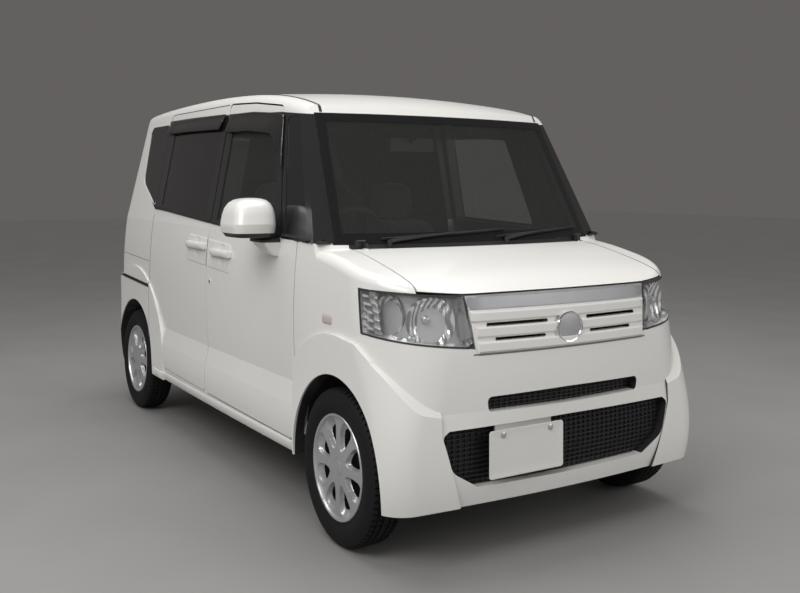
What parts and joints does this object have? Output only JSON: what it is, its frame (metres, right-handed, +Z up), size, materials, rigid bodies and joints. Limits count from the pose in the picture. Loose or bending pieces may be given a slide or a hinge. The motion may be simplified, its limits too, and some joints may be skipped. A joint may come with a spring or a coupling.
{
  "type": "kei car",
  "caption": "Tall-boxed kei car with hinged front doors, sliding rear doors, bonnet, tailgate, steered front wheels and a hollow cabin.",
  "frame": {"origin": "on the ground under the middle of the car, half way along and across its bounding box", "axes": "+X forward, +Y to the car's left, +Z up"},
  "size_m": [3.4024, 1.83, 1.76],
  "materials": {
    "paint": "gloss pearl",
    "clear_glass": "clear",
    "dark_glass": "smoked",
    "black_plastic": "satin",
    "lamp_lens": "clear",
    "red_lens": "gloss",
    "bright_trim": "satin chrome",
    "chassis_steel": "black wax",
    "steel": "bare",
    "tyre_rubber": "matte",
    "wheel_silver": "silver paint",
    "seat_cloth": "woven",
    "dash_plastic": "grained",
    "mirror_glass": "silvered",
    "floor_metal": "underseal",
    "grip": "wrapped"
  },
  "bodies": {
    "body_shell": {"body_side_right": "paint", "body_side_left": "paint", "roof_panel": "paint", "windscreen": "clear_glass", "cowl_panel": "black_plastic", "front_fender_right": "paint", "front_fender_left": "paint", "front_bumper": "paint", "intake_mesh": "black_plastic", "headlamps": "lamp_lens", "grille": "paint", "grille_bar": "bright_trim", "tail_lamps": "red_lens", "rear_bumper": "paint", "sliding_door_right": "paint", "sliding_door_left": "paint", "fixed_side_glass": "dark_glass", "floor_pan": "floor_metal", "wheelhouses": "black_plastic", "engine": "chassis_steel", "front_subframe": "chassis_steel", "rear_axle_beam": "chassis_steel", "fuel_tank": "chassis_steel", "exhaust": "steel", "dashboard": "dash_plastic", "front_seats": "seat_cloth", "rear_seat": "seat_cloth", "interior_mirror": "mirror_glass", "front_wipers": "black_plastic"},
    "front_door_right_body": {"front_door_right": "paint", "front_door_glass_right": "clear_glass", "door_mirror_right": "paint"},
    "front_door_left_body": {"front_door_left": "paint", "front_door_glass_left": "clear_glass", "door_mirror_left": "paint"},
    "bonnet_body": {"bonnet": "paint"},
    "tailgate_body": {"tailgate": "paint", "tailgate_glass": "dark_glass"},
    "fuel_lid_body": {"fuel_lid": "paint"},
    "steering_wheel_body": {"steering_wheel": "grip"},
    "knuckle_right": {"front_knuckle_right": "chassis_steel"},
    "knuckle_left": {"front_knuckle_left": "chassis_steel"},
    "wheel_fr": {"tyre_front_right": "tyre_rubber", "wheel_front_right": "wheel_silver"},
    "wheel_fl": {"tyre_front_left": "tyre_rubber", "wheel_front_left": "wheel_silver"},
    "wheel_rr": {"tyre_rear_right": "tyre_rubber", "wheel_rear_right": "wheel_silver"},
    "wheel_rl": {"tyre_rear_left": "tyre_rubber", "wheel_rear_left": "wheel_silver"}
  },
  "joints": [
    {"name": "steer_left", "type": "hinge", "parent": "body_shell", "child": "knuckle_left", "pos_m": [1.2555, 0.552, 0.281], "axis": [0, 0, 1], "range_deg": [-32, 32]},
    {"name": "steer_right", "type": "hinge", "parent": "body_shell", "child": "knuckle_right", "pos_m": [1.2555, -0.552, 0.281], "axis": [0, 0, 1], "range_deg": [-32, 32]},
    {"name": "steering_wheel_turn", "type": "hinge", "parent": "body_shell", "child": "steering_wheel_body", "pos_m": [0.56, -0.32, 1.035], "axis": [-0.8829, 0, 0.4695], "range_deg": [-512, 512]},
    {"name": "wheel_spin_front_left", "type": "hinge", "parent": "knuckle_left", "child": "wheel_fl", "pos_m": [1.2555, 0.6525, 0.281], "axis": [0, 1, 0], "continuous": true},
    {"name": "wheel_spin_front_right", "type": "hinge", "parent": "knuckle_right", "child": "wheel_fr", "pos_m": [1.2555, -0.6525, 0.281], "axis": [0, 1, 0], "continuous": true},
    {"name": "wheel_spin_rear_left", "type": "hinge", "parent": "body_shell", "child": "wheel_rl", "pos_m": [-1.2645, 0.6525, 0.281], "axis": [0, 1, 0], "continuous": true},
    {"name": "wheel_spin_rear_right", "type": "hinge", "parent": "body_shell", "child": "wheel_rr", "pos_m": [-1.2645, -0.6525, 0.281], "axis": [0, 1, 0], "continuous": true},
    {"name": "front_door_right_swing", "type": "hinge", "parent": "body_shell", "child": "front_door_right_body", "pos_m": [0.845, -0.714, 0.645], "axis": [0, 0, 1], "range_deg": [0, 65]},
    {"name": "front_door_left_swing", "type": "hinge", "parent": "body_shell", "child": "front_door_left_body", "pos_m": [0.845, 0.714, 0.645], "axis": [0, 0, -1], "range_deg": [0, 65]},
    {"name": "bonnet_lift", "type": "hinge", "parent": "body_shell", "child": "bonnet_body", "pos_m": [1.122, 0, 1.082], "axis": [0, -1, 0], "range_deg": [0, 52]},
    {"name": "tailgate_lift", "type": "hinge", "parent": "body_shell", "child": "tailgate_body", "pos_m": [-1.473, 0, 1.734], "axis": [0, 1, 0], "range_deg": [0, 85]},
    {"name": "fuel_lid_swing", "type": "hinge", "parent": "body_shell", "child": "fuel_lid_body", "pos_m": [-1.2, 0.721, 0.96], "axis": [0, 0, -1], "range_deg": [0, 90]}
  ],
  "couplings": [
    {"joint": "steer_right", "follows": "steer_left", "ratio": 1},
    {"joint": "steering_wheel_turn", "follows": "steer_left", "ratio": 16}
  ]
}
